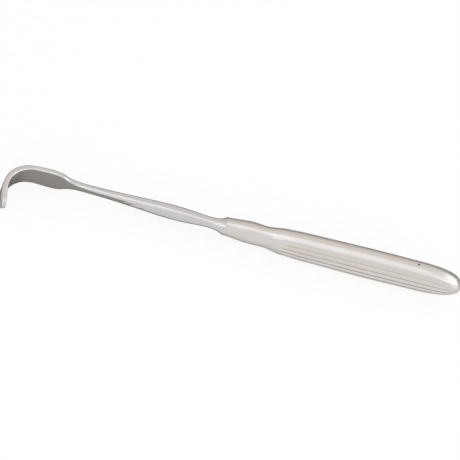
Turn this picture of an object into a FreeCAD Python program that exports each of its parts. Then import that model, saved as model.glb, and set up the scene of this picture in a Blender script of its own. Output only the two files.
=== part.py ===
import FreeCAD, Part
import math
import os

import Sketcher

# Handheld surgical retractor, lying on its narrow side as it comes to rest on a table.
# Three pieces: one forging (blade, shank and hidden tang) and the two pressed shells of its
# hollow handle. All lengths are millimetres, and all angles are degrees.
#
# The tool is drawn in its own frame first. Its X axis runs along the handle from the collar to
# the rear end, Z is the width of handle and blade, and the blade hooks round towards -Y.

SIZES = [
    ("handle_length", 117.9, "collar face to rear end"),
    ("wall", 1.2, "sheet of the hollow handle"),
    ("flute_depth", 0.48, "crest to valley of the pressed flutes"),
    ("flute_reach", 0.79, "fluted share of the half width"),
    ("collar_half_wide", 4.72, "handle at its front face"),
    ("collar_front", 2.65, "seam to front face at the collar"),
    ("collar_back", 4.55, "seam to back face at the collar"),
    ("bulge_at", 13.0, "swelling behind the collar, from the collar face"),
    ("bulge_half_wide", 5.9, ""),
    ("bulge_front", 3.3, ""),
    ("bulge_back", 4.8, ""),
    ("rest_at", 19.8, "bottom of the thumb rest"),
    ("rest_half_wide", 5.73, ""),
    ("rest_front", 3.4, ""),
    ("rest_back", 4.33, ""),
    ("shoulder_at", 32.0, "front end of the full grip"),
    ("shoulder_half_wide", 7.38, ""),
    ("shoulder_front", 4.7, ""),
    ("palm_at", 76.0, "widest place of the handle"),
    ("palm_half_wide", 8.63, ""),
    ("heel_at", 94.0, "where the rear end begins to round off"),
    ("heel_half_wide", 8.36, ""),
    ("grip_depth", 5.16, "seam to each broad face along the grip"),
    ("rest_crown", 1.0, "drop of the face at the edge of the fluted band, front part"),
    ("grip_crown", 1.15, "the same along the grip"),
    ("nose_plan", 2.15, "roundness of the rear end seen on its broad face"),
    ("nose_side", 4.8, "roundness of the rear end seen on its narrow side"),
    ("vent_wide", 1.0, "vent hole of the hollow handle"),
    ("vent_from_end", 23.45, ""),
    ("tang_length", 12.0, "tang inside the collar"),
    ("tang_half_wide", 3.0, ""),
    ("tang_half_thick", 1.6, ""),
    ("braze_gap", 0.03, "room for the solder round the tang"),
    ("shank_offset", 0.65, "shank behind the seam at the collar"),
    ("shank_bend", 1.52, "angle of the shank towards the back"),
    ("flare_offset", 0.9, "middle of the flare behind the seam"),
    ("flare_half_wide", 4.4, "forging at the collar face"),
    ("flare_half_thick", 3.5, ""),
    ("flare_corner", 2.7, ""),
    ("neck_at", 6.1, "thinnest place behind the flare, from the collar face"),
    ("neck_half_wide", 2.66, ""),
    ("neck_half_thick", 2.15, ""),
    ("neck_corner", 1.55, ""),
    ("spindle_at", 18.0, "thickest place of the shank"),
    ("spindle_half_wide", 3.3, ""),
    ("spindle_half_thick", 2.4, ""),
    ("spindle_corner", 1.7, ""),
    ("taper_at", 44.0, ""),
    ("taper_half_wide", 2.77, ""),
    ("taper_half_thick", 2.06, ""),
    ("taper_corner", 1.5, ""),
    ("wrist_at", 68.0, "thinnest place before the blade"),
    ("wrist_half_wide", 2.0, ""),
    ("wrist_half_thick", 1.72, ""),
    ("wrist_corner", 1.45, ""),
    ("root_at", 81.3, "where the blade has its full width"),
    ("root_half_wide", 5.1, ""),
    ("blade_half_wide", 5.3, "blade from the bend on"),
    ("blade_half_thick", 1.38, ""),
    ("blade_edge", 0.95, "rounding of the long edges of the blade"),
    ("bend_at", 92.5, "where the blade begins to hook"),
    ("bend_radius", 13.8, "to the middle of the strip"),
    ("bend_turn", 81.0, ""),
    ("tongue_radius", 25.6, "gentler curve of the last stretch"),
    ("tongue_turn", 28.2, ""),
    ("tip_turn", 8.5, "part of that turn over which the tip rounds off"),
    ("tongue_half_wide", 3.8, "tongue where its tip begins to round off"),
    ("tongue_half_thick", 1.32, ""),
    ("tip_half_thick", 1.0, ""),
]


def fill_sheet(doc):
    """Write the driving dimensions into a spreadsheet, one named cell a row."""
    sheet = doc.addObject("Spreadsheet::Sheet", "Sizes")
    for row, (name, value, note) in enumerate(SIZES, start=1):
        sheet.set(f"A{row}", name)
        sheet.set(f"B{row}", str(value))
        sheet.set(f"C{row}", note)
        sheet.setAlias(f"B{row}", name)
    doc.recompute()
    return sheet


def cell(name):
    """The text by which an expression reads one cell."""
    return f"Sizes.{name}"


def between(first, last, share):
    """An expression part of the way from one to another."""
    return f"({first} + ({last} - {first}) * {share})"


def number(owner, text):
    """What an expression comes to, as a plain number (degrees for an angle)."""
    result = owner.evalExpression(text)
    return float(getattr(result, "Value", result))


def origin_plane(body, role):
    """One of the body's own origin planes."""
    return next(item for item in body.Origin.OriginFeatures if item.Role == role)


def cross_sketch(body, name, along, across="0", turn="0"):
    """An empty sketch across the tool, its first axis along Y and its second along Z.

    It stands at the given place along X and across Y, turned about Z.
    """
    sketch = body.newObject("Sketcher::SketchObject", name)
    sketch.AttachmentSupport = [(origin_plane(body, "YZ_Plane"), "")]
    sketch.MapMode = "FlatFace"
    spot = FreeCAD.Vector(number(sketch, across), 0, number(sketch, along))
    upright = FreeCAD.Rotation(FreeCAD.Vector(0, 1, 0), number(sketch, turn))
    sketch.AttachmentOffset = FreeCAD.Placement(spot, upright)
    sketch.setExpression("AttachmentOffset.Base.x", across)
    sketch.setExpression("AttachmentOffset.Base.z", along)
    if turn != "0":
        sketch.setExpression("AttachmentOffset.Rotation.Angle", f"({turn}) * 1deg")
    return sketch


def outline(sketch, corners):
    """Draw a closed chain of straight lines whose corners are pairs of expressions."""
    points = [FreeCAD.Vector(number(sketch, x), number(sketch, y), 0) for x, y in corners]
    count = len(points)
    sketch.addGeometry([Part.LineSegment(points[index], points[(index + 1) % count])
                        for index in range(count)])
    rules = []
    for index, point in enumerate(points):
        rules.append(Sketcher.Constraint("Coincident", index - 1 if index else count - 1, 2, index, 1))
        rules.append(Sketcher.Constraint("DistanceX", -1, 1, index, 1, point.x))
        rules.append(Sketcher.Constraint("DistanceY", -1, 1, index, 1, point.y))
    sketch.addConstraint(rules)
    for index, (x, y) in enumerate(corners):
        sketch.setExpression(f"Constraints[{3 * index + 1}]", x)
        sketch.setExpression(f"Constraints[{3 * index + 2}]", y)


# Chords by which a round corner of the forging is drawn.
CORNER_CHORDS = 4


def bar_section(body, name, place, half_thick, half_wide, corner):
    """Cross-section of the forging: a rectangle with four equal round corners."""
    sketch = cross_sketch(body, name, *place)
    corners = []
    for quarter, (side, end) in enumerate(((1, 1), (-1, 1), (-1, -1), (1, -1))):
        for step in range(CORNER_CHORDS + 1):
            angle = math.radians(90 * (quarter + step / CORNER_CHORDS))
            corners.append((f"{side} * ({half_thick} - {corner}) + {corner} * {math.cos(angle):.6f}",
                            f"{end} * ({half_wide} - {corner}) + {corner} * {math.sin(angle):.6f}"))
    outline(sketch, corners)
    return sketch


def on_shank(distance):
    """Place on the straight shank, a distance from the collar face."""
    bend = f"({cell('shank_bend')} * 1deg)"
    along = f"-({distance}) * cos{bend}"
    across = f"{cell('shank_offset')} + ({distance}) * sin{bend}"
    return along, across, f"-{cell('shank_bend')}"


def on_arc(start, start_turn, radius, turn):
    """Place on an arc that leaves the start place and has turned by a further angle."""
    before = f"({start_turn}) * 1deg"
    after = f"({start_turn} + {turn}) * 1deg"
    along = f"{start[0]} + ({radius}) * (sin({before}) - sin({after}))"
    across = f"{start[1]} + ({radius}) * (cos({after}) - cos({before}))"
    return along, across, f"{start_turn} + {turn}"


# How fast the flare runs down to the neck: share of the way, and share of the change made there.
FOOT_AT = 0.3
FOOT_CHANGE = 0.58


def shank_sections(body):
    """Sections from the collar face to the root of the blade."""
    sections = [bar_section(body, "flare", ("0", cell("flare_offset"), "0"),
                            cell("flare_half_thick"), cell("flare_half_wide"), cell("flare_corner"))]
    mix = [between(cell("flare_" + part), cell("neck_" + part), FOOT_CHANGE)
           for part in ("half_thick", "half_wide", "corner")]
    foot = on_shank(f"({cell('neck_at')} * {FOOT_AT})")
    sections.append(bar_section(body, "flare_foot", foot, *mix))
    for name in ("neck", "spindle", "taper", "wrist"):
        sections.append(bar_section(body, name, on_shank(cell(name + "_at")),
                                    cell(name + "_half_thick"), cell(name + "_half_wide"),
                                    cell(name + "_corner")))
    return sections


# How the wrist spreads into the blade: share of the way, share of the spread in width,
# share of the change in thickness.
ROOT_STEPS = [(0.4, 0.09, 0.3), (0.64, 0.33, 0.7), (0.76, 0.55, 0.85), (0.88, 0.84, 0.95)]


def root_sections(body):
    """Sections over which the round wrist spreads into the flat blade."""
    sections = []
    for step, (way, spread, thinning) in enumerate(ROOT_STEPS, start=1):
        place = on_shank(between(cell("wrist_at"), cell("root_at"), way))
        sections.append(bar_section(body, f"root_{step}", place,
                                    between(cell("wrist_half_thick"), cell("blade_half_thick"), thinning),
                                    between(cell("wrist_half_wide"), cell("root_half_wide"), spread),
                                    between(cell("wrist_corner"), cell("blade_edge"), thinning)))
    return sections


# Angles that space the sections of the rounded tip, and the most that its edges are rounded,
# as a share of its half thickness and half width.
TIP_ANGLES = (24, 44, 60, 73, 83)
TIP_ROUND = 0.8


def blade_sections(body):
    """Sections of the flat strip: straight, round the hook, and in to the tip."""
    edge = cell("blade_edge")
    size = (cell("blade_half_thick"), cell("blade_half_wide"), edge)
    start = on_shank(cell("bend_at"))
    sections = [bar_section(body, "root_end", on_shank(cell("root_at")),
                            cell("blade_half_thick"), cell("root_half_wide"), edge),
                bar_section(body, "bend_end", start, *size)]
    lean = f"-{cell('shank_bend')}"
    steps = 4
    for step in range(1, steps + 1):
        place = on_arc(start, lean, cell("bend_radius"), f"{cell('bend_turn')} * {step / steps}")
        sections.append(bar_section(body, f"hook_{step}", place, *size))
    hooked = f"{lean} + {cell('bend_turn')}"
    plain_turn = f"({cell('tongue_turn')} - {cell('tip_turn')})"
    start = on_arc(start, lean, cell("bend_radius"), cell("bend_turn"))
    for step, share in enumerate((0.5, 1), start=1):
        place = on_arc(start, hooked, cell("tongue_radius"), f"{plain_turn} * {share}")
        thick = between(cell("blade_half_thick"), cell("tongue_half_thick"), share)
        wide = between(cell("blade_half_wide"), cell("tongue_half_wide"), share ** 2)
        sections.append(bar_section(body, f"tongue_{step}", place, thick, wide, edge))
    for step, angle in enumerate(TIP_ANGLES, start=1):
        share = f"sin({angle} * 1deg)"
        turn = f"({plain_turn} + {cell('tip_turn')} * {share})"
        place = on_arc(start, hooked, cell("tongue_radius"), turn)
        thick = between(cell("tongue_half_thick"), cell("tip_half_thick"), share)
        wide = f"({cell('tongue_half_wide')} * cos({angle} * 1deg))"
        sections.append(bar_section(body, f"tip_{step}", place, thick, wide,
                                    f"min({edge}; {thick} * {TIP_ROUND}; {wide} * {TIP_ROUND})"))
    return sections


def loft(body, kind, name, sections):
    """A smooth loft through the sections, added or cut."""
    feature = body.newObject(kind, name)
    feature.Profile = sections[0]
    feature.Sections = sections[1:]
    feature.Ruled = False
    return feature


def rectangle(sketch, half_thick, half_wide):
    """A rectangle about the sketch's origin."""
    outline(sketch, [(f"{side} * ({half_thick})", f"{end} * ({half_wide})")
                     for side, end in ((1, 1), (-1, 1), (-1, -1), (1, -1))])


def make_forging(doc):
    """Blade, shank and tang, forged in one piece."""
    body = doc.addObject("PartDesign::Body", "blade_and_shank")
    body.Label = "blade_and_shank"
    sections = shank_sections(body) + root_sections(body) + blade_sections(body)
    loft(body, "PartDesign::AdditiveLoft", "forged_bar", sections)
    across = cross_sketch(body, "tang_outline", "0")
    rectangle(across, f"{cell('tang_half_thick')} - {cell('braze_gap')}",
              f"{cell('tang_half_wide')} - {cell('braze_gap')}")
    tang = body.newObject("PartDesign::Pad", "tang")
    tang.Profile = across
    tang.setExpression("Length", cell("tang_length"))
    return body


# Chords of the curve from the seam to the edge of the broad face, and the places across that
# face, in pitches of its flutes from the middle, at which the waves are drawn.
SIDE_CHORDS = 4
BAND = 2.25
WAVE_STEPS = [step / 6 for step in range(12, -13, -1)]


def shell_section(body, name, facing, along, half_wide, depth, crown, flute=None):
    """Half of the handle's cross-section, from the seam out to one broad face.

    Facing is -1 towards the hook and +1 towards the back. The curve of each narrow side has
    its centre on the seam, so that the halves meet smoothly. With a flute depth the broad face
    is a row of five valleys, and without one it is a plain crown.
    """
    sketch = cross_sketch(body, name, along)
    edge = f"({half_wide} * {cell('flute_reach')})"
    level = f"({depth} - {flute} / 2)" if flute else depth
    rim = f"({level} - {crown})"
    turn = f"(2 * atan(({half_wide} - {edge}) / {rim}))"
    side = []
    for step in range(SIDE_CHORDS):
        angle = f"{step / SIDE_CHORDS} * {turn}"
        side.append((f"{rim} * sin({angle}) / sin{turn}",
                     f"({half_wide} - {rim} * (1 - cos({angle})) / sin{turn})"))
    side.append((rim, edge))
    face = []
    for step in WAVE_STEPS if flute else (1, 0, -1):
        drop = f"{crown} * {(step / BAND) ** 2:.6f}"
        wave = f" - {flute} / 2 * {math.cos(step * 2 * math.pi):.1f}" if flute else ""
        face.append((f"({level} - {drop}{wave})", f"{edge} * {step / BAND:.6f}"))
    corners = side + face + [(x, f"-{y}") for x, y in reversed(side)]
    outline(sketch, [(f"{facing} * {x}", y) for x, y in corners])
    return sketch


def at(station):
    """Place of a station of the handle along its length."""
    return "0" if station == "collar" else cell(station + "_at")


def soft(share):
    """The share of a change that sets in and ends gently."""
    return round(share * share * (3 - 2 * share), 4)


def quick(share):
    """The share of a change that sets in at once and ends gently."""
    return round(math.sqrt(share), 4)


def face_depth(station, facing):
    """Seam to broad face at a station: full along the grip, less before its shoulder."""
    if station in ("palm", "heel") or (station == "shoulder" and facing > 0):
        return cell("grip_depth")
    return cell(station + ("_front" if facing < 0 else "_back"))


# Stretches of the handle: first and last station, the way its sizes change from one to the
# other, and the share of the way at which each further section stands.
STRETCHES = [
    ("collar", "bulge", soft, (0, 0.12, 0.35, 0.67)),
    ("bulge", "rest", soft, (0, 0.5)),
    ("rest", "shoulder", soft, (0, 0.25, 0.5, 0.75)),
    ("shoulder", "palm", quick, (0, 0.08, 0.25, 0.55)),
    ("palm", "heel", soft, (0, 0.5)),
]
# Angles that space the sections of the rounded rear end.
NOSE_ANGLES = (0, 20, 38, 54, 67, 77, 84)


def nose(angle):
    """Place along the rear end, and what is left there of its width and of its thickness."""
    reach = f"sin({angle} * 1deg)"
    place = f"({cell('heel_at')} + ({cell('handle_length')} - {cell('heel_at')}) * {reach})"
    plan = f"(1 - {reach} ^ {cell('nose_plan')}) ^ (1 / {cell('nose_plan')})"
    side = f"(1 - {reach} ^ {cell('nose_side')}) ^ (1 / {cell('nose_side')})"
    return place, plan, side


def stations(facing):
    """Name, place, half width, depth, crown and flute depth of each section of the handle."""
    rows = []
    for first, last, course, shares in STRETCHES:
        for share in shares:
            change = course(share)
            crown = cell("rest_crown" if first in ("collar", "bulge") else "grip_crown")
            fluting = 0 if first in ("collar", "bulge") else 1
            if first == "rest":
                crown = between(cell("rest_crown"), cell("grip_crown"), change)
                fluting = soft(max(0, 2 * share - 1))
            rows.append((f"{first}_{round(share * 100)}",
                         between(at(first), at(last), share),
                         between(cell(first + "_half_wide"), cell(last + "_half_wide"), change),
                         between(face_depth(first, facing), face_depth(last, facing), change),
                         crown, f"({cell('flute_depth')} * {fluting:.4f})"))
    for angle in NOSE_ANGLES:
        place, plan, side = nose(angle)
        rows.append((f"nose_{angle}", place, f"({cell('heel_half_wide')} * {plan})",
                     f"({cell('grip_depth')} * {side})", f"({cell('grip_crown')} * {side})",
                     f"({cell('flute_depth')} * {plan})"))
    return rows


def outer_sections(body, facing):
    """Sections of the shell's outside, from the collar to the rear end."""
    return [shell_section(body, "outside_" + name, facing, *sizes)
            for name, *sizes in stations(facing)]


def cavity_sections(body, facing):
    """Sections of the hollow, one wall inside the outer form, from the bulge to the nose."""
    rows = stations(facing)
    names = [row[0] for row in rows]
    wall = cell("wall")
    sections = []
    for name, place, half_wide, depth, crown, _ in rows[names.index("bulge_0"):names.index("nose_54")]:
        sections.append(shell_section(body, "hollow_" + name, facing, place,
                                      f"({half_wide} - {wall})", f"({depth} - {wall})", crown))
    return sections


def make_shell(doc, name, facing):
    """One pressed half of the hollow handle."""
    body = doc.addObject("PartDesign::Body", name)
    body.Label = name
    loft(body, "PartDesign::AdditiveLoft", "pressed_form", outer_sections(body, facing))
    loft(body, "PartDesign::SubtractiveLoft", "hollow", cavity_sections(body, facing))
    across = cross_sketch(body, "tang_seat_outline", "0")
    rectangle(across, cell("tang_half_thick"), cell("tang_half_wide"))
    seat = body.newObject("PartDesign::Pocket", "tang_seat")
    seat.Profile = across
    seat.Reversed = True
    seat.setExpression("Length", f"{cell('tang_length')} + {cell('braze_gap')}")
    vent_outline = body.newObject("Sketcher::SketchObject", "vent_outline")
    vent_outline.AttachmentSupport = [(origin_plane(body, "XY_Plane"), "")]
    vent_outline.MapMode = "FlatFace"
    centre = f"{cell('handle_length')} - {cell('vent_from_end')}"
    radius = f"{cell('vent_wide')} / 2"
    spot = FreeCAD.Vector(number(vent_outline, centre), 0, 0)
    size = number(vent_outline, radius)
    vent_outline.addGeometry(Part.Circle(spot, FreeCAD.Vector(0, 0, 1), size))
    vent_outline.addConstraint([Sketcher.Constraint("PointOnObject", 0, 3, -1),
                                Sketcher.Constraint("DistanceX", -1, 1, 0, 3, spot.x),
                                Sketcher.Constraint("Radius", 0, size)])
    vent_outline.setExpression("Constraints[1]", centre)
    vent_outline.setExpression("Constraints[2]", radius)
    vent = body.newObject("PartDesign::Pocket", "vent")
    vent.Profile = vent_outline
    vent.Reversed = True
    vent.setExpression("Length", f"{cell('palm_half_wide')} * 2")
    return body


def turned_boxes(bodies, turn):
    """Box of each body once the tool is turned."""
    boxes = []
    for body in bodies:
        shape = body.Shape.copy()
        shape.Placement = FreeCAD.Placement(FreeCAD.Vector(), turn)
        boxes.append(shape.optimalBoundingBox())
    return boxes


def resting_turn(sheet, bodies):
    """Turn about Y at which the handle's palm and the blade's bend both touch the table."""
    reach = number(sheet, f"{cell('palm_at')} + {cell('bend_at')} + {cell('bend_radius')}")
    lean = 0
    for _ in range(3):
        turn = FreeCAD.Rotation(FreeCAD.Vector(0, 1, 0), lean)
        forging, *shells = turned_boxes(bodies, turn)
        lean -= math.degrees((forging.ZMin - min(box.ZMin for box in shells)) / reach)
    return FreeCAD.Rotation(FreeCAD.Vector(0, 1, 0), lean)


def lay_down(doc, bodies):
    """Turn the tool so that handle and blade both touch the table, and centre it there."""
    doc.recompute()
    turn = resting_turn(doc.Sizes, bodies)
    box = FreeCAD.BoundBox()
    for turned in turned_boxes(bodies, turn):
        box.add(turned)
    base = FreeCAD.Vector(-box.Center.x, -box.Center.y, -box.ZMin)
    for body in bodies:
        body.Placement = FreeCAD.Placement(base, turn)
    doc.recompute()


def check(doc, bodies):
    """Stop if any object failed or any shape is missing or not valid."""
    for item in doc.Objects:
        if "Invalid" in item.State or "Error" in item.State:
            raise RuntimeError(f"{item.Name} failed: {item.State}")
    for body in bodies:
        if body.Shape.isNull() or not body.Shape.isValid() or len(body.Shape.Solids) != 1:
            raise RuntimeError(f"{body.Label} is not one valid solid")


def main():
    doc = FreeCAD.newDocument("retractor")
    fill_sheet(doc)
    bodies = [
        make_forging(doc),
        make_shell(doc, "handle_front_shell", -1),
        make_shell(doc, "handle_back_shell", 1),
    ]
    lay_down(doc, bodies)
    check(doc, bodies)
    os.makedirs("parts", exist_ok=True)
    for body in bodies:
        body.Shape.exportStep(f"parts/{body.Label}.step")
        box = body.Shape.optimalBoundingBox()
        low = [round(value, 2) for value in (box.XMin, box.YMin, box.ZMin)]
        high = [round(value, 2) for value in (box.XMax, box.YMax, box.ZMax)]
        print(body.Label, round(body.Shape.Volume, 1), "mm3, from", low, "to", high)


main()
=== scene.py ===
import math

import bpy
from bpy.props import FloatProperty, FloatVectorProperty, PointerProperty
from mathutils import Matrix, Vector

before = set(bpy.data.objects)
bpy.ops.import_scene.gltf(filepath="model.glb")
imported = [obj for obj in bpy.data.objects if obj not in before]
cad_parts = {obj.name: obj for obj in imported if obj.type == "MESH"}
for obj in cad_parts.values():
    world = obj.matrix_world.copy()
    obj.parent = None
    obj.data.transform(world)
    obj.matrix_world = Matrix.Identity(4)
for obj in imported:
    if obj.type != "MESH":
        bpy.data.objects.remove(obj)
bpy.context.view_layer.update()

bl_info = {
    "name": "Hook Retractor Look",
    "version": (1, 0, 0),
    "blender": (4, 5, 0),
    "location": "3D View > Sidebar > Retractor",
    "description": "Dresses a hand retractor in satin steel and lights it on a pale table",
    "category": "Object",
}

FORGING = "blade_and_shank"
SHELLS = ("handle_front_shell", "handle_back_shell")

# Lengths below are metres.

# Edges that turn by less than this are shaded as one surface, and points closer to each other
# than this are joined
SOFTEN_ANGLE = math.radians(34)
MERGE_DISTANCE = 0.00003

# Satin of the steel: detail of the fine grain, scale and detail of the broad waves of tone, range
# of the noise that is spread out, swing of the roughness and strength of the grain's bump
GRAIN_DETAIL = 3.0
WAVE_SCALE = 60.0
WAVE_DETAIL = 4.0
NOISE_RANGE = (0.3, 0.7)
ROUGHNESS_SWING = 0.05
BUMP_STRENGTH = 0.6

# Polished edges: width, samples, agreement of the rounded and the true normal at which the mask
# begins and is full, and the share of the roughness that is left there
EDGE_REACH = 0.0005
EDGE_SAMPLES = 6
EDGE_MATCH = (0.995, 0.90)
EDGE_SATIN = 0.6

# Share of each colour that is left where the waves of tone are strongest
FORGING_TONE = (0.94, 0.94, 0.94)
HANDLE_TONE = (0.97, 0.94, 0.91)

# Painted shade: a darker colour on the face inside the hook and along the lower side of the
# shank, standing in for the dark reflection that these faces show. The face inside the hook looks
# towards the middle of the curve of the bend (X and Y), and the painted shade looks more and more
# downwards where it runs out under the shank, from the first to the second place along X. The
# mask begins where a surface looks that way closely enough (at those two places) and is full a
# little further on. It fades out towards the tip of the tongue.
BEND_CENTRE = (-0.0977, -0.0029)
SHADE_FULL_X = -0.078
SHADE_END_X = -0.030
SHADE_DROP = -0.020
SHADE_EDGE_FULL = 0.83
SHADE_EDGE_END = 0.50
SHADE_BLEND = 0.09
TONGUE_X = -0.1100
TONGUE_FADE = 0.0042

# Surroundings: closeness to the glow's direction, share of the direction that points to the back,
# and height, between which the glow and the dark strip grow to their full strength
GLOW_RANGE = (0.68, 0.99)
STRIP_BACK = (0.0, 0.6)
STRIP_HEIGHT = (0.4, 0.05)

# Soft lamps: name, place, width, depth, and the stage's value that holds the power
LAMPS = (
    ("lamp_over", (-0.1, -0.35, 1.0), 1.0, 0.7, "over_power"),
    ("lamp_right", (0.84, -0.08, 0.50), 1.55, 0.62, "right_power"),
    ("lamp_left", (-0.50, -0.79, 0.30), 0.95, 0.34, "left_power"),
)

# Farthest distance that the camera shows
CAMERA_REACH = 50.0

WHITE = (1.0, 1.0, 1.0, 1.0)


# Sizes and colours that a user may change

class RetractorSteel(bpy.types.PropertyGroup):
    """Satin steel of the forging and of the pressed handle."""

    forging_colour: FloatVectorProperty(
        name="Forging colour", description="Steel of blade and shank",
        subtype="COLOR", size=3, min=0.0, max=1.0, default=(0.64, 0.625, 0.62))
    handle_colour: FloatVectorProperty(
        name="Handle colour", description="Steel of the pressed handle shells",
        subtype="COLOR", size=3, min=0.0, max=1.0, default=(0.68, 0.66, 0.635))
    # Painted shade: darker colour for the face inside the hook and the shank's lower side,
    # standing in for the dark reflection there; the roughness after it is used on the same place
    painted_shade_colour: FloatVectorProperty(
        name="Ground face colour", description="Painted shade on the face inside the hook and along the shank's lower side",
        subtype="COLOR", size=3, min=0.0, max=1.0, default=(0.275, 0.262, 0.245))
    rim_tint: FloatVectorProperty(
        name="Rim tint", description="Reflection of the steel near its outlines",
        subtype="COLOR", size=3, min=0.0, max=1.0, default=(0.16, 0.15, 0.14))
    forging_satin: FloatProperty(
        name="Forging satin", description="Mean roughness of blade and shank",
        min=0.05, max=0.8, default=0.30)
    painted_shade_satin: FloatProperty(
        name="Ground face satin", description="Roughness where the painted shade lies",
        min=0.05, max=0.8, default=0.32)
    handle_satin: FloatProperty(
        name="Handle satin", description="Mean roughness of the handle",
        min=0.05, max=0.8, default=0.33)
    grain: FloatProperty(
        name="Grain", description="Spacing of the satin grain",
        subtype="DISTANCE", unit="LENGTH", min=0.00002, max=0.002, default=0.00018)
    grain_depth: FloatProperty(
        name="Grain depth", description="Height of the satin grain",
        subtype="DISTANCE", unit="LENGTH", min=0.0, max=0.0001, default=0.000004)
    soften_angle: FloatProperty(
        name="Soften angle", description="Edges that turn by less are shaded as one surface",
        subtype="ANGLE", unit="ROTATION", min=0.0, max=math.pi, default=SOFTEN_ANGLE)


class RetractorStage(bpy.types.PropertyGroup):
    """Table, lamps and camera."""

    table_size: FloatProperty(
        name="Table size", description="Width of the table top",
        subtype="DISTANCE", unit="LENGTH", min=0.5, max=20.0, default=6.0)
    table_colour: FloatVectorProperty(
        name="Table colour", description="Matt surface under the tool",
        subtype="COLOR", size=3, min=0.0, max=1.0, default=(0.9, 0.9, 0.9))
    table_white: FloatProperty(
        name="Table white",
        description="Share of plain white in the table as the camera and the steel see it",
        subtype="FACTOR", min=0.0, max=1.0, default=0.85)
    room_colour: FloatVectorProperty(
        name="Room colour", description="Light of the room round the tool",
        subtype="COLOR", size=3, min=0.0, max=2.0, default=(0.93, 0.88, 0.84))
    glow_colour: FloatVectorProperty(
        name="Glow colour", description="Light of the broad soft glow above the front",
        subtype="COLOR", size=3, min=0.0, max=3.0, default=(1.14, 1.18, 1.25))
    glow_from: FloatVectorProperty(
        name="Glow direction", description="Direction from which the glow comes",
        subtype="DIRECTION", size=3, default=(-0.17, -0.50, 0.85))
    strip_colour: FloatVectorProperty(
        name="Strip colour", description="Light of the dark strip low at the back",
        subtype="COLOR", size=3, min=0.0, max=2.0, default=(0.10, 0.095, 0.09))
    lamp_colour: FloatVectorProperty(
        name="Lamp colour", description="Light of the soft lamps",
        subtype="COLOR", size=3, min=0.0, max=1.0, default=(0.80, 0.90, 1.0))
    over_power: FloatProperty(
        name="Overhead lamp power", description="Power of the soft lamp overhead",
        subtype="POWER", unit="POWER", min=0.0, max=100.0, default=0.6)
    right_power: FloatProperty(
        name="Right lamp power", description="Power of the soft lamp past the end of the handle",
        subtype="POWER", unit="POWER", min=0.0, max=100.0, default=3.2)
    left_power: FloatProperty(
        name="Left lamp power",
        description="Power of the small soft lamp low in front of the hook",
        subtype="POWER", unit="POWER", min=0.0, max=100.0, default=1.1)
    camera_turn: FloatProperty(
        name="Camera turn", description="Direction of the camera round the tool",
        subtype="ANGLE", unit="ROTATION", default=math.radians(-16.47))
    camera_rise: FloatProperty(
        name="Camera rise", description="Height of the camera as an angle above the table",
        subtype="ANGLE", unit="ROTATION", default=math.radians(48.55))
    camera_roll: FloatProperty(
        name="Camera roll", description="Turn of the picture about its middle",
        subtype="ANGLE", unit="ROTATION", default=math.radians(-27.31))
    camera_distance: FloatProperty(
        name="Camera distance", description="From the camera to the point that it looks at",
        subtype="DISTANCE", unit="LENGTH", min=0.1, max=10.0, default=1.7931)
    camera_lens: FloatProperty(
        name="Lens", description="Focal length on a 36 mm sensor, in millimetres",
        min=10.0, max=400.0, default=297.52)
    camera_aim: FloatVectorProperty(
        name="Camera aim", description="Point that the camera looks at",
        subtype="TRANSLATION", unit="LENGTH", size=3, default=(-0.00276, 0.00417, 0.01084))


# Nodes

def node(tree, kind, place, **values):
    """Add a node, set its attributes, and return it."""
    item = tree.nodes.new(kind)
    item.location = place
    for name, value in values.items():
        setattr(item, name, value)
    return item


def maths(tree, place, operation, *values):
    """Add a maths node on sockets and plain numbers, and return its result."""
    item = node(tree, "ShaderNodeMath", place, operation=operation)
    for socket, value in zip(item.inputs, values):
        if isinstance(value, bpy.types.NodeSocket):
            tree.links.new(value, socket)
        else:
            socket.default_value = value
    return item.outputs[0]


def spread(tree, place, value, limits, lowest=0.0, **values):
    """Add a node that maps a value's limits to a lowest number and 1, and return its result."""
    item = node(tree, "ShaderNodeMapRange", place, **values)
    item.inputs["From Min"].default_value, item.inputs["From Max"].default_value = limits
    item.inputs["To Min"].default_value = lowest
    tree.links.new(value, item.inputs["Value"])
    return item.outputs["Result"]


def emptied(owner):
    """Turn on the nodes of a material or a world, take them all out, and return the tree."""
    owner.use_nodes = True
    owner.node_tree.nodes.clear()
    return owner.node_tree


# Shared effects, as shader node groups of numbers only

def new_group(name, inputs, outputs):
    """An empty shader node group with its number sockets, its input node and its output node."""
    tree = bpy.data.node_groups.new(name, "ShaderNodeTree")
    for label, default in inputs:
        socket = tree.interface.new_socket(label, in_out="INPUT", socket_type="NodeSocketFloat")
        socket.default_value = default
    for label in outputs:
        tree.interface.new_socket(label, in_out="OUTPUT", socket_type="NodeSocketFloat")
    return tree, node(tree, "NodeGroupInput", (-900, 0)), node(tree, "NodeGroupOutput", (700, 0))


def satin_grain_group():
    """Fine matt grain of blasted steel: a height, a roughness and a faint tone that vary."""
    tree, start, end = new_group(
        "Satin grain", [("Spacing", 0.0002), ("Roughness", 0.3), ("Swing", ROUGHNESS_SWING)],
        ["Height", "Roughness", "Tone"])
    link = tree.links.new
    place = node(tree, "ShaderNodeTexCoord", (-900, 300))
    fine = node(tree, "ShaderNodeTexNoise", (-500, 300))
    fine.inputs["Detail"].default_value = GRAIN_DETAIL
    link(place.outputs["Object"], fine.inputs["Vector"])
    link(maths(tree, (-700, 150), "DIVIDE", 1.0, start.outputs["Spacing"]), fine.inputs["Scale"])
    link(fine.outputs["Fac"], end.inputs["Height"])
    waves = node(tree, "ShaderNodeTexNoise", (-500, 0))
    waves.inputs["Scale"].default_value = WAVE_SCALE
    waves.inputs["Detail"].default_value = WAVE_DETAIL
    link(place.outputs["Object"], waves.inputs["Vector"])
    swing = spread(tree, (-250, 0), waves.outputs["Fac"], NOISE_RANGE, lowest=-1.0)
    rough = maths(tree, (0, 0), "MULTIPLY_ADD", swing, start.outputs["Swing"],
                  start.outputs["Roughness"])
    link(rough, end.inputs["Roughness"])
    link(spread(tree, (0, -250), waves.outputs["Fac"], NOISE_RANGE), end.inputs["Tone"])
    return tree


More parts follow.
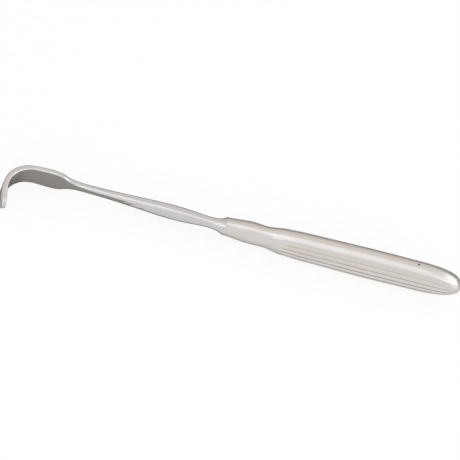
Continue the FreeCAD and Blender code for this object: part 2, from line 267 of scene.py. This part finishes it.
def edge_polish_group():
    """Mask of the outward edges, where handling has polished the satin."""
    tree, start, end = new_group("Edge polish", [("Reach", EDGE_REACH)], ["Mask"])
    link = tree.links.new
    bevel = node(tree, "ShaderNodeBevel", (-600, 100), samples=EDGE_SAMPLES)
    link(start.outputs["Reach"], bevel.inputs["Radius"])
    shape = node(tree, "ShaderNodeNewGeometry", (-600, -100))
    match = node(tree, "ShaderNodeVectorMath", (-350, 0), operation="DOT_PRODUCT")
    link(bevel.outputs["Normal"], match.inputs[0])
    link(shape.outputs["Normal"], match.inputs[1])
    link(spread(tree, (-100, 0), match.outputs["Value"], EDGE_MATCH), end.inputs["Mask"])
    return tree


def painted_shade_group():
    """Mask of the painted shade on the flat face inside the hook, which runs out under the shank.
    """
    tree, start, end = new_group(
        "Ground face", [("Bend X", BEND_CENTRE[0]), ("Bend Y", BEND_CENTRE[1]),
                        ("Full X", SHADE_FULL_X), ("End X", SHADE_END_X),
                        ("Tongue X", TONGUE_X), ("Tongue Fade", TONGUE_FADE)], ["Mask"])
    link = tree.links.new
    place = node(tree, "ShaderNodeTexCoord", (-900, 300))
    spot = node(tree, "ShaderNodeSeparateXYZ", (-700, 300))
    link(place.outputs["Object"], spot.inputs[0])
    along = node(tree, "ShaderNodeMapRange", (-500, -250))
    link(spot.outputs["X"], along.inputs["Value"])
    link(start.outputs["Full X"], along.inputs["From Min"])
    link(start.outputs["End X"], along.inputs["From Max"])
    level = maths(tree, (-500, 350), "SUBTRACT", start.outputs["Bend X"], spot.outputs["X"])
    inward = node(tree, "ShaderNodeCombineXYZ", (-100, 250))
    link(maths(tree, (-300, 350), "MAXIMUM", level, 0.0), inward.inputs["X"])
    link(maths(tree, (-300, 150), "SUBTRACT", start.outputs["Bend Y"], spot.outputs["Y"]),
         inward.inputs["Y"])
    link(maths(tree, (-300, -50), "MULTIPLY", along.outputs["Result"], SHADE_DROP),
         inward.inputs["Z"])
    unit = node(tree, "ShaderNodeVectorMath", (50, 250), operation="NORMALIZE")
    link(inward.outputs[0], unit.inputs[0])
    facing = node(tree, "ShaderNodeVectorMath", (200, 250), operation="DOT_PRODUCT")
    link(unit.outputs[0], facing.inputs[0])
    link(place.outputs["Normal"], facing.inputs[1])
    edge = node(tree, "ShaderNodeMapRange", (50, -150))
    edge.inputs["To Min"].default_value = SHADE_EDGE_FULL
    edge.inputs["To Max"].default_value = SHADE_EDGE_END
    link(along.outputs["Result"], edge.inputs["Value"])
    mask = node(tree, "ShaderNodeMapRange", (450, 100), interpolation_type="SMOOTHSTEP")
    link(facing.outputs["Value"], mask.inputs["Value"])
    link(edge.outputs["Result"], mask.inputs["From Min"])
    link(maths(tree, (250, -150), "ADD", edge.outputs["Result"], SHADE_BLEND),
         mask.inputs["From Max"])
    fade = node(tree, "ShaderNodeMapRange", (350, 500))
    link(maths(tree, (200, 500), "SUBTRACT", spot.outputs["X"], start.outputs["Tongue X"]),
         fade.inputs["Value"])
    link(start.outputs["Tongue Fade"], fade.inputs["From Max"])
    link(maths(tree, (600, 250), "MULTIPLY", mask.outputs["Result"], fade.outputs["Result"]),
         end.inputs["Mask"])
    return tree


def satin_steel(name, colour, tone, satin, steel, painted_shade=None):
    """Satin stainless steel with grain, faint waves of tone and polished edges.

    The tone is the share of the colour left at its darkest. A painted shade colour adds painted
    shade on the face inside the hook and along the shank's lower side.
    """
    material = bpy.data.materials.new(name)
    tree = emptied(material)
    groups = effect_groups()
    link = tree.links.new
    grain = node(tree, "ShaderNodeGroup", (-900, 100), node_tree=groups["grain"])
    grain.inputs["Spacing"].default_value = steel.grain
    grain.inputs["Roughness"].default_value = satin
    grain.inputs["Swing"].default_value = ROUGHNESS_SWING
    polish = node(tree, "ShaderNodeGroup", (-900, -200), node_tree=groups["polish"])
    polish.inputs["Reach"].default_value = EDGE_REACH
    tint = node(tree, "ShaderNodeMix", (-600, 300), data_type="RGBA")
    tint.inputs["A"].default_value = (*colour, 1.0)
    tint.inputs["B"].default_value = (*(part * left for part, left in zip(colour, tone)), 1.0)
    link(grain.outputs["Tone"], tint.inputs["Factor"])
    smoother = node(tree, "ShaderNodeMix", (-600, 0), data_type="FLOAT")
    smoother.inputs["B"].default_value = satin * EDGE_SATIN
    link(polish.outputs["Mask"], smoother.inputs["Factor"])
    link(grain.outputs["Roughness"], smoother.inputs["A"])
    shade, rough = tint.outputs["Result"], smoother.outputs["Result"]
    # Painted shade: the mask darkens the face inside the hook and the shank's lower side to the
    # painted shade colour, and makes them duller
    if painted_shade is not None:
        face = node(tree, "ShaderNodeGroup", (-900, 500), node_tree=groups["painted_shade"])
        darker = node(tree, "ShaderNodeMix", (-300, 300), data_type="RGBA")
        darker.inputs["B"].default_value = (*painted_shade, 1.0)
        link(face.outputs["Mask"], darker.inputs["Factor"])
        link(shade, darker.inputs["A"])
        duller = node(tree, "ShaderNodeMix", (-300, 0), data_type="FLOAT")
        duller.inputs["B"].default_value = steel.painted_shade_satin
        link(face.outputs["Mask"], duller.inputs["Factor"])
        link(rough, duller.inputs["A"])
        shade, rough = darker.outputs["Result"], duller.outputs["Result"]
    bump = node(tree, "ShaderNodeBump", (-300, -300))
    bump.inputs["Strength"].default_value = BUMP_STRENGTH
    bump.inputs["Distance"].default_value = steel.grain_depth
    link(grain.outputs["Height"], bump.inputs["Height"])
    surface = node(tree, "ShaderNodeBsdfPrincipled", (0, 0))
    surface.inputs["Metallic"].default_value = 1.0
    surface.inputs["Specular Tint"].default_value = (*steel.rim_tint, 1.0)
    link(shade, surface.inputs["Base Color"])
    link(rough, surface.inputs["Roughness"])
    link(bump.outputs["Normal"], surface.inputs["Normal"])
    end = node(tree, "ShaderNodeOutputMaterial", (300, 0))
    link(surface.outputs["BSDF"], end.inputs["Surface"])
    return material


def effect_groups():
    """The shared effects, made once."""
    data = bpy.data.node_groups
    return {
        "grain": data.get("Satin grain") or satin_grain_group(),
        "polish": data.get("Edge polish") or edge_polish_group(),
        "painted_shade": data.get("Ground face") or painted_shade_group(),
    }


def soften_group():
    """Geometry nodes that join the strips of a surface and shade its gentle edges as one."""
    tree = bpy.data.node_groups.new("Soften strips", "GeometryNodeTree")
    tree.interface.new_socket("Geometry", in_out="INPUT", socket_type="NodeSocketGeometry")
    angle = tree.interface.new_socket("Angle", in_out="INPUT", socket_type="NodeSocketFloat")
    angle.default_value = SOFTEN_ANGLE
    tree.interface.new_socket("Geometry", in_out="OUTPUT", socket_type="NodeSocketGeometry")
    link = tree.links.new
    start = node(tree, "NodeGroupInput", (-800, 0))
    end = node(tree, "NodeGroupOutput", (800, 0))
    plain = node(tree, "GeometryNodeRemoveAttribute", (-600, 0))
    plain.inputs["Name"].default_value = "custom_normal"
    merged = node(tree, "GeometryNodeMergeByDistance", (-400, 0))
    merged.inputs["Distance"].default_value = MERGE_DISTANCE
    faces = node(tree, "GeometryNodeSetShadeSmooth", (-150, 0), domain="FACE")
    edges = node(tree, "GeometryNodeSetShadeSmooth", (150, 0), domain="EDGE")
    turn = node(tree, "GeometryNodeInputMeshEdgeAngle", (-400, -300))
    sharp = node(tree, "FunctionNodeCompare", (-150, -300), data_type="FLOAT",
                 operation="LESS_EQUAL")
    link(start.outputs["Geometry"], plain.inputs["Geometry"])
    link(plain.outputs["Geometry"], merged.inputs["Geometry"])
    link(merged.outputs["Geometry"], faces.inputs["Geometry"])
    link(faces.outputs["Geometry"], edges.inputs["Geometry"])
    link(turn.outputs["Unsigned Angle"], sharp.inputs["A"])
    link(start.outputs["Angle"], sharp.inputs["B"])
    link(sharp.outputs["Result"], edges.inputs["Shade Smooth"])
    link(edges.outputs["Geometry"], end.inputs["Geometry"])
    return tree


def soften(piece, angle):
    """Shade a part's gentle edges as one surface."""
    tree = bpy.data.node_groups.get("Soften strips") or soften_group()
    modifier = piece.modifiers.new("Soften strips", "NODES")
    modifier.node_group = tree
    socket = next(item for item in tree.interface.items_tree
                  if item.in_out == "INPUT" and item.name == "Angle")
    modifier[socket.identifier] = angle


def dress(name, material):
    """Give a part of the frame its finish."""
    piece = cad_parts[name]
    piece.data.materials.clear()
    piece.data.materials.append(material)
    return piece


class RETRACTOR_OT_forging(bpy.types.Operator):
    """Finish blade and shank in satin steel."""

    bl_idname = "retractor.forging"
    bl_label = "Blade and shank"
    bl_options = {"REGISTER", "UNDO"}

    def execute(self, context):
        steel = context.scene.retractor_steel
        # Blade and shank get painted shade inside the hook and along the shank's lower side
        material = satin_steel("Forged satin steel", steel.forging_colour, FORGING_TONE,
                               steel.forging_satin, steel, painted_shade=steel.painted_shade_colour)
        soften(dress(FORGING, material), steel.soften_angle)
        return {"FINISHED"}


class RETRACTOR_OT_handle(bpy.types.Operator):
    """Finish the two pressed shells of the handle in satin steel."""

    bl_idname = "retractor.handle"
    bl_label = "Handle shells"
    bl_options = {"REGISTER", "UNDO"}

    def execute(self, context):
        steel = context.scene.retractor_steel
        material = satin_steel("Pressed satin steel", steel.handle_colour, HANDLE_TONE,
                               steel.handle_satin, steel)
        for name in SHELLS:
            soften(dress(name, material), steel.soften_angle)
        return {"FINISHED"}


def table(stage):
    """Large pale table top that shows as white and keeps a faint shadow of the tool."""
    half = stage.table_size / 2
    mesh = bpy.data.meshes.new("table_top")
    mesh.from_pydata([(-half, -half, 0), (half, -half, 0), (half, half, 0), (-half, half, 0)],
                     [], [(0, 1, 2, 3)])
    top = bpy.data.objects.new("table_top", mesh)
    bpy.context.scene.collection.objects.link(top)
    material = bpy.data.materials.new("Pale table")
    tree = emptied(material)
    link = tree.links.new
    matt = node(tree, "ShaderNodeBsdfDiffuse", (-200, 100))
    matt.inputs["Color"].default_value = (*stage.table_colour, 1.0)
    white = node(tree, "ShaderNodeEmission", (-200, -100))
    white.inputs["Color"].default_value = WHITE
    rays = node(tree, "ShaderNodeLightPath", (-900, 300))
    mirrored = maths(tree, (-700, 250), "MAXIMUM", rays.outputs["Is Glossy Ray"],
                     rays.outputs["Is Transmission Ray"])
    seen = maths(tree, (-550, 350), "MAXIMUM", rays.outputs["Is Camera Ray"], mirrored)
    mix = node(tree, "ShaderNodeMixShader", (50, 0))
    link(maths(tree, (-400, 300), "MULTIPLY", seen, stage.table_white), mix.inputs[0])
    link(matt.outputs[0], mix.inputs[1])
    link(white.outputs[0], mix.inputs[2])
    end = node(tree, "ShaderNodeOutputMaterial", (300, 0))
    link(mix.outputs[0], end.inputs["Surface"])
    mesh.materials.append(material)


def surroundings(stage):
    """Pale room with a broad soft glow above the front and a dark strip low at the back."""
    world = bpy.data.worlds.new("Pale room")
    bpy.context.scene.world = world
    tree = emptied(world)
    link = tree.links.new
    place = node(tree, "ShaderNodeTexCoord", (-1100, 0))
    split = node(tree, "ShaderNodeSeparateXYZ", (-900, -300))
    link(place.outputs["Generated"], split.inputs[0])
    toward = node(tree, "ShaderNodeVectorMath", (-900, 100), operation="DOT_PRODUCT")
    toward.inputs[1].default_value = stage.glow_from
    link(place.outputs["Generated"], toward.inputs[0])
    glow = spread(tree, (-700, 100), toward.outputs["Value"], GLOW_RANGE,
                  interpolation_type="SMOOTHSTEP")
    behind = spread(tree, (-700, -200), split.outputs["Y"], STRIP_BACK,
                    interpolation_type="SMOOTHSTEP")
    low = spread(tree, (-700, -450), split.outputs["Z"], STRIP_HEIGHT,
                 interpolation_type="SMOOTHSTEP")
    lit = node(tree, "ShaderNodeMix", (-450, 100), data_type="RGBA")
    lit.inputs["A"].default_value = (*stage.room_colour, 1.0)
    lit.inputs["B"].default_value = (*stage.glow_colour, 1.0)
    link(glow, lit.inputs["Factor"])
    dimmed = node(tree, "ShaderNodeMix", (-250, 0), data_type="RGBA")
    dimmed.inputs["B"].default_value = (*stage.strip_colour, 1.0)
    link(maths(tree, (-500, -300), "MULTIPLY", behind, low), dimmed.inputs["Factor"])
    link(lit.outputs["Result"], dimmed.inputs["A"])
    room = node(tree, "ShaderNodeBackground", (-50, 0))
    link(dimmed.outputs["Result"], room.inputs["Color"])
    white = node(tree, "ShaderNodeBackground", (-50, -200))
    white.inputs["Color"].default_value = WHITE
    rays = node(tree, "ShaderNodeLightPath", (-250, 300))
    mix = node(tree, "ShaderNodeMixShader", (150, 0))
    link(rays.outputs["Is Camera Ray"], mix.inputs[0])
    link(room.outputs[0], mix.inputs[1])
    link(white.outputs[0], mix.inputs[2])
    end = node(tree, "ShaderNodeOutputWorld", (350, 0))
    link(mix.outputs[0], end.inputs["Surface"])


def soft_lamp(name, place, width, depth, power, colour):
    """A rectangular soft lamp that looks at the middle of the tool."""
    data = bpy.data.lights.new(name, "AREA")
    data.shape = "RECTANGLE"
    data.size = width
    data.size_y = depth
    data.energy = power
    data.color = colour
    lamp = bpy.data.objects.new(name, data)
    lamp.location = place
    lamp.rotation_euler = (-Vector(place)).to_track_quat("-Z", "Y").to_euler()
    bpy.context.scene.collection.objects.link(lamp)


def camera(stage):
    """The camera, placed round its aim and rolled about its own axis."""
    turn, rise, roll = stage.camera_turn, stage.camera_rise, stage.camera_roll
    back = Vector((math.cos(rise) * math.sin(turn), -math.cos(rise) * math.cos(turn),
                   math.sin(rise)))
    right = Vector((math.cos(turn), math.sin(turn), 0))
    up = back.cross(right)
    across = right * math.cos(roll) - up * math.sin(roll)
    over = right * math.sin(roll) + up * math.cos(roll)
    data = bpy.data.cameras.new("camera")
    data.lens = stage.camera_lens
    data.clip_end = CAMERA_REACH
    item = bpy.data.objects.new("camera", data)
    spot = Vector(stage.camera_aim) + back * stage.camera_distance
    item.matrix_world = (Matrix.Translation(spot)
                         @ Matrix((across, over, back)).transposed().to_4x4())
    bpy.context.scene.collection.objects.link(item)
    bpy.context.scene.camera = item


class RETRACTOR_OT_stage(bpy.types.Operator):
    """Set up table, surroundings, lamps and camera."""

    bl_idname = "retractor.stage"
    bl_label = "Table, lamps and camera"
    bl_options = {"REGISTER", "UNDO"}

    def execute(self, context):
        stage = context.scene.retractor_stage
        table(stage)
        surroundings(stage)
        for name, place, width, depth, power in LAMPS:
            soft_lamp(name, place, width, depth, getattr(stage, power), stage.lamp_colour)
        camera(stage)
        context.scene.view_settings.view_transform = "Standard"
        return {"FINISHED"}


class RETRACTOR_PT_panel(bpy.types.Panel):
    """Steps and values of the retractor's look."""

    bl_idname = "RETRACTOR_PT_panel"
    bl_label = "Retractor"
    bl_space_type = "VIEW_3D"
    bl_region_type = "UI"
    bl_category = "Retractor"

    def draw(self, context):
        layout = self.layout
        for step in (RETRACTOR_OT_forging, RETRACTOR_OT_handle, RETRACTOR_OT_stage):
            layout.operator(step.bl_idname)
        for group in (context.scene.retractor_steel, context.scene.retractor_stage):
            box = layout.box()
            for name in group.__annotations__:
                box.prop(group, name)


CLASSES = (RetractorSteel, RetractorStage, RETRACTOR_OT_forging, RETRACTOR_OT_handle,
           RETRACTOR_OT_stage, RETRACTOR_PT_panel)


def register():
    for item in CLASSES:
        bpy.utils.register_class(item)
    bpy.types.Scene.retractor_steel = PointerProperty(type=RetractorSteel)
    bpy.types.Scene.retractor_stage = PointerProperty(type=RetractorStage)


def unregister():
    del bpy.types.Scene.retractor_stage
    del bpy.types.Scene.retractor_steel
    for item in reversed(CLASSES):
        bpy.utils.unregister_class(item)


def main():
    register()
    bpy.ops.retractor.forging()
    bpy.ops.retractor.handle()
    bpy.ops.retractor.stage()


if __name__ == "__main__":
    main()
